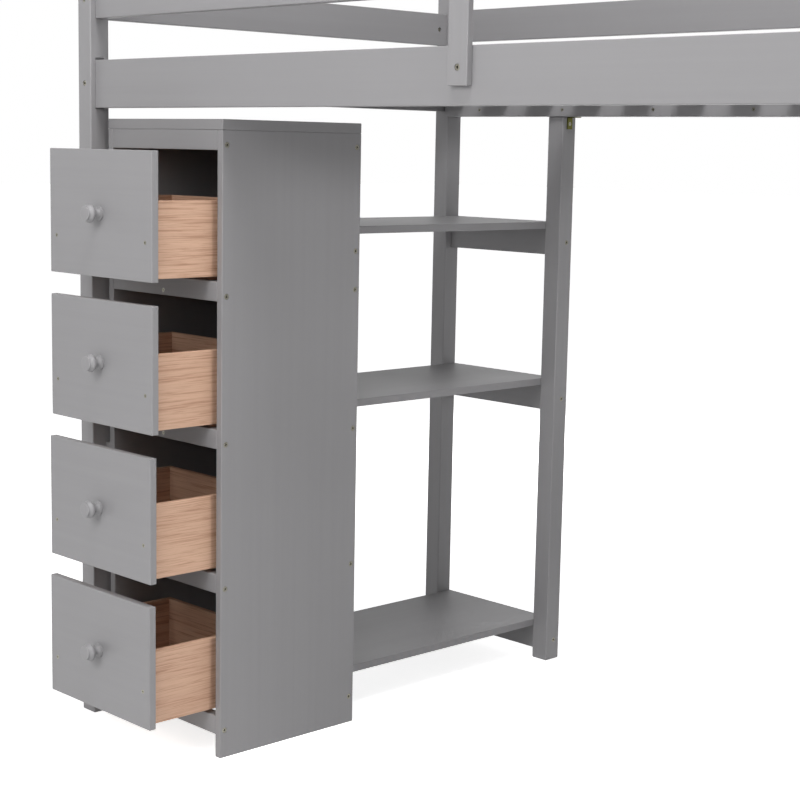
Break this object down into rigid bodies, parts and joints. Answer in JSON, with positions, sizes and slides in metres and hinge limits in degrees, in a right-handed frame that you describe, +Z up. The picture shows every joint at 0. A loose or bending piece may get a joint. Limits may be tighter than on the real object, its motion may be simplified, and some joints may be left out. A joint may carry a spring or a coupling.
{
  "type": "loft bed with desk",
  "caption": "Twin loft bed in grey painted wood with guard rails, slats, a drawer tower, a bookcase, a small desk and an end ladder.",
  "frame": {"origin": "floor level, in the middle of the part's box with the drawers standing open", "axes": "+X along the bed from the drawer tower to the ladder end, +Y from the drawer fronts to the back, +Z up"},
  "size_m": [1.98, 1.225, 1.7],
  "materials": {
    "grey_paint": "satin paint over solid wood, with a faint grain",
    "bare_wood": "sanded bare wood with a fine straight grain",
    "zinc": "zinc-plated steel",
    "yellow_zinc": "yellow-passivated steel"
  },
  "bodies": {
    "frame": {"post_front_left": "grey_paint", "post_back_left": "grey_paint", "post_front_right": "grey_paint", "post_back_right": "grey_paint", "ladder_post": "grey_paint", "shelf_leg": "grey_paint", "side_rail_front": "grey_paint", "side_rail_back": "grey_paint", "end_rail_left": "grey_paint", "end_rails_right": "grey_paint", "slat_ledgers": "grey_paint", "slats": "grey_paint", "guard_boards_front": "grey_paint", "guard_boards_back": "grey_paint", "guard_boards_left": "grey_paint", "guard_boards_right": "grey_paint", "guard_stiles": "grey_paint", "tower_panel_left": "grey_paint", "tower_panel_right": "grey_paint", "tower_top": "grey_paint", "tower_front_rails": "grey_paint", "tower_rear_rails": "grey_paint", "tower_back_panel": "grey_paint", "tower_runners": "bare_wood", "tower_spacers": "grey_paint", "shelves": "grey_paint", "shelf_stretchers": "grey_paint", "shelf_cleats": "grey_paint", "desk_top": "grey_paint", "desk_legs": "grey_paint", "desk_rails": "grey_paint", "ladder_rungs": "grey_paint", "leg_bracket": "yellow_zinc", "bolts": "zinc", "barrel_nuts": "zinc", "wood_screws": "zinc"},
    "drawer_1": {"drawer_1_front": "grey_paint", "drawer_1_sides": "bare_wood", "drawer_1_back": "bare_wood", "drawer_1_bottom": "bare_wood", "drawer_1_knob": "grey_paint", "drawer_1_screws": "zinc"},
    "drawer_2": {"drawer_2_front": "grey_paint", "drawer_2_sides": "bare_wood", "drawer_2_back": "bare_wood", "drawer_2_bottom": "bare_wood", "drawer_2_knob": "grey_paint", "drawer_2_screws": "zinc"},
    "drawer_3": {"drawer_3_front": "grey_paint", "drawer_3_sides": "bare_wood", "drawer_3_back": "bare_wood", "drawer_3_bottom": "bare_wood", "drawer_3_knob": "grey_paint", "drawer_3_screws": "zinc"},
    "drawer_4": {"drawer_4_front": "grey_paint", "drawer_4_sides": "bare_wood", "drawer_4_back": "bare_wood", "drawer_4_bottom": "bare_wood", "drawer_4_knob": "grey_paint", "drawer_4_screws": "zinc"}
  },
  "joints": [
    {"name": "drawer_1_slide", "type": "slide", "parent": "frame", "child": "drawer_1", "axis": [0, -1, 0], "range_m": [-0.149, 0.0645]},
    {"name": "drawer_2_slide", "type": "slide", "parent": "frame", "child": "drawer_2", "axis": [0, -1, 0], "range_m": [-0.149, 0.0645]},
    {"name": "drawer_3_slide", "type": "slide", "parent": "frame", "child": "drawer_3", "axis": [0, -1, 0], "range_m": [-0.154, 0.0595]},
    {"name": "drawer_4_slide", "type": "slide", "parent": "frame", "child": "drawer_4", "axis": [0, -1, 0], "range_m": [-0.156, 0.0575]}
  ]
}
